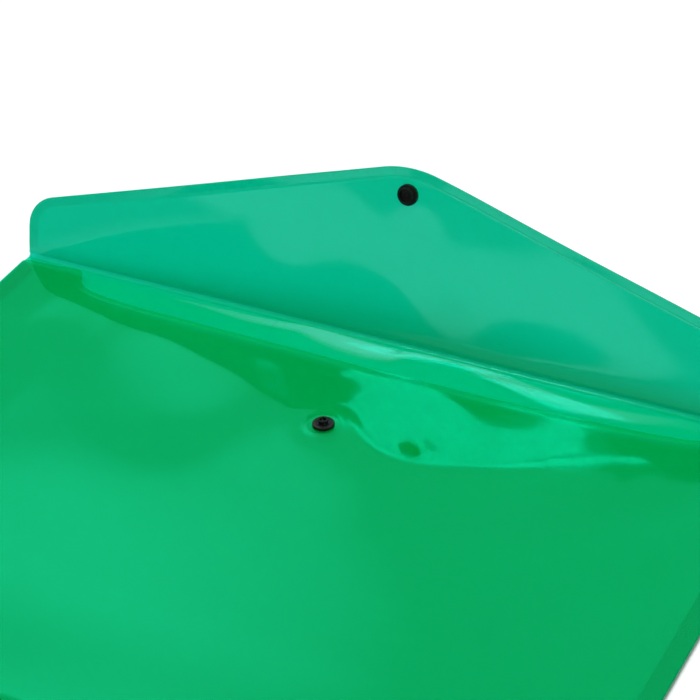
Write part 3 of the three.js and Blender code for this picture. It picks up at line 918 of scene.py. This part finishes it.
UPWARDS = np.array([0.0, 0, 1])
stud_at = STUD - SNAP_GAP * UPWARDS
socket_at = UPPER_SCORE + SOCKET_HEIGHT * FLAP_UP + (THICK / 2) * FLAP_INWARD
snap_piece("front_stud", "pocket", stud_at, UPWARDS, lifted(STUD_RING, SNAP_GAP), slotted=True)
snap_piece("front_stud_cap", "pocket", stud_at, UPWARDS, cap_profile(STUD_PIN))
snap_piece("flap_socket", "flap", socket_at, FLAP_INWARD, lifted(SOCKET_RING, SNAP_GAP))
snap_piece("flap_socket_cap", "flap", socket_at, FLAP_INWARD, cap_profile(SOCKET_PIN))

# ---------------------------------------------------------------- floor and world
FLOOR_Z = -0.0015       # folded right back, the twisted flap comes just under the pocket's plane
FLOOR_HALF = 6
AMBIENT = 0.32          # the world's light on matt surfaces
BACKDROP = 0.95         # the world as the camera sees it


def build_floor():
    s = FLOOR_HALF
    mesh = bpy.data.meshes.new("floor")
    corners = [(-s, -s, FLOOR_Z), (s, -s, FLOOR_Z), (s, s, FLOOR_Z), (-s, s, FLOOR_Z)]
    mesh.from_pydata(corners, [], [(0, 1, 2, 3)])
    mesh.materials.append(floor_material())
    floor = bpy.data.objects.new("floor", mesh)
    bpy.context.scene.collection.objects.link(floor)


def build_world():
    world = bpy.data.worlds.new("studio")
    bpy.context.scene.world = world
    world.use_nodes = True
    world.cycles.sampling_method = "NONE"
    g = Graph(world.node_tree)
    rays = g.node("ShaderNodeLightPath").outputs
    sky = g.coords("Generated")
    x, y, z = g.axes(sky)

    # what the sheet mirrors: a pale backdrop, a shade dimmer to the left and darker low down
    left = g.ramp(x, gain=-6.2, offset=-1.25)
    above_horizon = g.ramp(z, gain=7.0, offset=-3.3)
    room = g.mix_color(left, grey(1.15), grey(1.05))
    room = g.mix_color(above_horizon, grey(0.75), room)
    # a small glow behind and to the left
    towards = Vector((-0.450, 0.620, 0.642)).normalized()
    glow = g.node("ShaderNodeVectorMath", {0: sky, 1: towards}, operation="DOT_PRODUCT")
    glow = g.ramp(glow.outputs["Value"], gain=150.0, offset=-148.95)
    room = g.mix_color(glow, room, grey(2.35))
    # a dark room in front and a dim one overhead
    in_front = g.ramp(y, gain=-3.0, offset=0.1)
    room = g.mix_color(in_front, room, grey(0.30))
    overhead = g.ramp(z, gain=4.0, offset=-2.8)
    room = g.mix_color(overhead, room, grey(0.40))

    light = g.mix_color(rays["Is Diffuse Ray"], room, grey(AMBIENT))
    seen = g.mix_color(rays["Is Camera Ray"], light, grey(BACKDROP))
    background = g.shader("ShaderNodeBackground", Color=seen, Strength=1.0)
    g.surface(background, kind="ShaderNodeOutputWorld")


# ---------------------------------------------------------------- lights and camera
def area_light(name, width, height, power):
    light = bpy.data.lights.new(name, "AREA")
    light.shape = "RECTANGLE"
    light.size, light.size_y = width, height
    light.energy = power
    obj = bpy.data.objects.new(name, light)
    bpy.context.scene.collection.objects.link(obj)
    return obj


def matte_light(name, at, to, size, power):
    """A square light that shows in no reflection."""
    obj = area_light(name, size, size, power)
    obj.location = at
    obj.rotation_euler = (Vector(to) - Vector(at)).to_track_quat("-Z", "Y").to_euler()
    obj.visible_glossy = False


# The soft box seen in the flap's mirror image, from a point on the front panel.
CARD_LEFT = Vector((-0.431, -0.398, 0.809)).normalized()       # directions of its two sides
CARD_RIGHT = Vector((-0.275, -0.298, 0.914)).normalized()
CARD_SEEN_FROM = Vector((0.03, 0.135, 0.04))
CARD_DISTANCE = 1.25
CARD_HEIGHT = math.radians(8.3)                  # as an angle, all below the middle direction
CARD_RADIANCE = 11.0


def soft_box():
    middle = (CARD_LEFT + CARD_RIGHT).normalized()
    span = CARD_RIGHT - CARD_LEFT
    across = span - span.dot(middle) * middle
    across.normalize()
    along = middle.cross(across)
    width, height = CARD_DISTANCE * span.length, CARD_DISTANCE * CARD_HEIGHT
    card = area_light("card", width, height, CARD_RADIANCE * math.pi * width * height)
    pose = Matrix((across, along, across.cross(along))).transposed().to_4x4()
    pose.translation = CARD_SEEN_FROM + CARD_DISTANCE * middle - height / 2 * along
    card.matrix_world = pose
    card.visible_diffuse = False
    card.visible_camera = False
    card.visible_transmission = False


def build_camera():
    lens = bpy.data.cameras.new("camera")
    lens.sensor_width = 36
    lens.lens = 133.82
    lens.clip_start, lens.clip_end = 0.01, 20
    camera = bpy.data.objects.new("camera", lens)
    bpy.context.scene.collection.objects.link(camera)
    rightwards = Vector((0.8961332, 0.4422597, -0.0367645))
    upwards = Vector((-0.2219136, 0.5183107, 0.8258985))
    backwards = Vector((0.3843171, -0.7319565, 0.5626189))
    pose = Matrix((rightwards, upwards, backwards)).transposed().to_4x4()
    pose.translation = Vector((0.36912, -0.62102, 0.56122))
    camera.matrix_world = pose
    bpy.context.scene.camera = camera


build_floor()
build_world()
matte_light("key", at=(-0.10, 0.12, 1.35), to=(0.0, 0.06, 0.0), size=0.80, power=18.5)
matte_light("fill", at=(0.9, -0.9, 1.3), to=(0, 0, 0), size=1.0, power=3.0)
soft_box()
build_camera()

scene = bpy.context.scene
scene.view_settings.view_transform = "Standard"
scene.view_settings.look = "None"
scene.cycles.transparent_max_bounces = 24
scene.cycles.max_bounces = 8
scene.cycles.diffuse_bounces = 3
scene.cycles.glossy_bounces = 4

bpy.context.view_layer.update()
